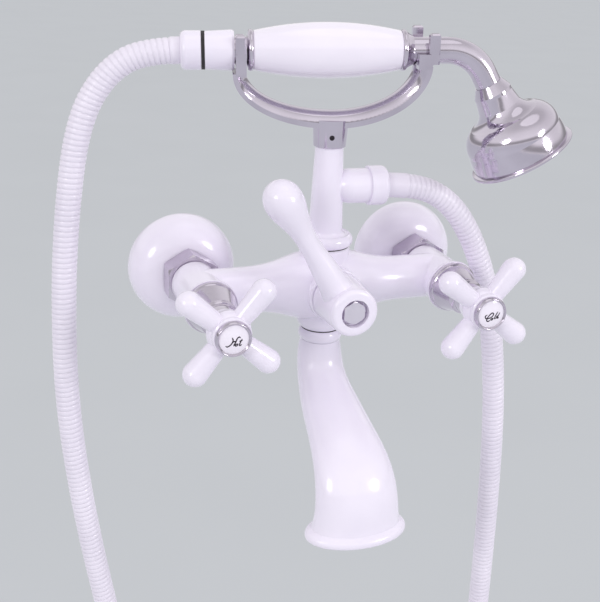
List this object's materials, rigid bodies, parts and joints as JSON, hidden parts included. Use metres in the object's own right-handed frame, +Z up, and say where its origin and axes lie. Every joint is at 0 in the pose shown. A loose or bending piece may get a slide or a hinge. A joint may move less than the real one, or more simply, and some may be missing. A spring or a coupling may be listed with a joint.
{
  "type": "bath mixer",
  "caption": "Wall-mounted exposed bath mixer with cross handles, lever diverter, curved swivel spout, and a hand shower resting in a cradle on a column above it",
  "frame": {"origin": "on the wall plane, half way between the two wall threads", "axes": "+Z up, +X to the right as seen by someone facing the wall, +Y into the wall; the mixer stands out towards -Y"},
  "size_m": [0.3, 0.1581, 0.7011],
  "materials": {
    "white_enamel": "gloss",
    "chrome": "polished",
    "porcelain": "glazed",
    "white_hose": "gloss",
    "black_rubber": "matt",
    "fibre": "matt",
    "ceramic": "lapped",
    "brass": "turned",
    "steel": "plain",
    "grey_plastic": "satin"
  },
  "bodies": {
    "mixer": {"body": "white_enamel", "hot_wall_union": "brass", "hot_wall_cover": "white_enamel", "hot_union_nut": "chrome", "hot_union_washer": "fibre", "hot_headwork": "chrome", "hot_headwork_cover": "chrome", "hot_fixed_disc": "ceramic", "cold_wall_union": "brass", "cold_wall_cover": "white_enamel", "cold_union_nut": "chrome", "cold_union_washer": "fibre", "cold_headwork": "chrome", "cold_headwork_cover": "chrome", "cold_fixed_disc": "ceramic", "diverter_headwork": "chrome", "spout_collar": "white_enamel", "column": "white_enamel", "column_seal": "black_rubber", "cradle": "chrome", "cradle_set_screw": "chrome", "outlet_hose_nut": "white_enamel", "outlet_hose_washer": "black_rubber", "shower_hose": "white_hose"},
    "hot_handle": {"hot_handle": "white_enamel", "hot_spindle": "brass", "hot_turning_disc": "ceramic", "hot_handle_screw": "steel", "hot_index_ring": "chrome", "hot_index_button": "porcelain"},
    "cold_handle": {"cold_handle": "white_enamel", "cold_spindle": "brass", "cold_turning_disc": "ceramic", "cold_handle_screw": "steel", "cold_index_ring": "chrome", "cold_index_button": "porcelain"},
    "diverter": {"diverter_lever": "white_enamel", "diverter_spindle": "brass", "lever_cap_nut": "chrome"},
    "spout": {"spout": "white_enamel", "spout_seal": "black_rubber", "spout_clip": "steel", "flow_straightener": "grey_plastic"},
    "handset": {"handset_pipe": "chrome", "handset_end_fitting": "white_enamel", "handset_grip": "porcelain", "grip_ferrule_hose_end": "chrome", "grip_ferrule_bell_end": "chrome", "shower_bell": "chrome", "spray_face": "grey_plastic", "spray_face_seal": "black_rubber", "spray_face_screw": "chrome", "handset_hose_nut": "white_enamel", "handset_hose_ring": "black_rubber", "handset_hose_washer": "black_rubber"}
  },
  "joints": [
    {"name": "hot_handle_turn", "type": "hinge", "parent": "mixer", "child": "hot_handle", "pos_m": [-0.075, -0.1, 0.008], "axis": [0, -1, 0], "range_deg": [0, 90]},
    {"name": "cold_handle_turn", "type": "hinge", "parent": "mixer", "child": "cold_handle", "pos_m": [0.075, -0.1, 0.008], "axis": [0, 1, 0], "range_deg": [0, 90]},
    {"name": "diverter_turn", "type": "hinge", "parent": "mixer", "child": "diverter", "pos_m": [0, -0.09, 0.008], "axis": [0, 1, 0], "range_deg": [0, 90]},
    {"name": "spout_swivel", "type": "hinge", "parent": "mixer", "child": "spout", "pos_m": [0, -0.053, -0.02], "axis": [0, 0, 1], "range_deg": [-90, 90]},
    {"name": "handset_lift", "type": "slide", "parent": "mixer", "child": "handset", "axis": [-0.0271, 0.0068, 0.9996], "range_m": [0, 0.04], "deforming": ["shower_hose"]}
  ]
}
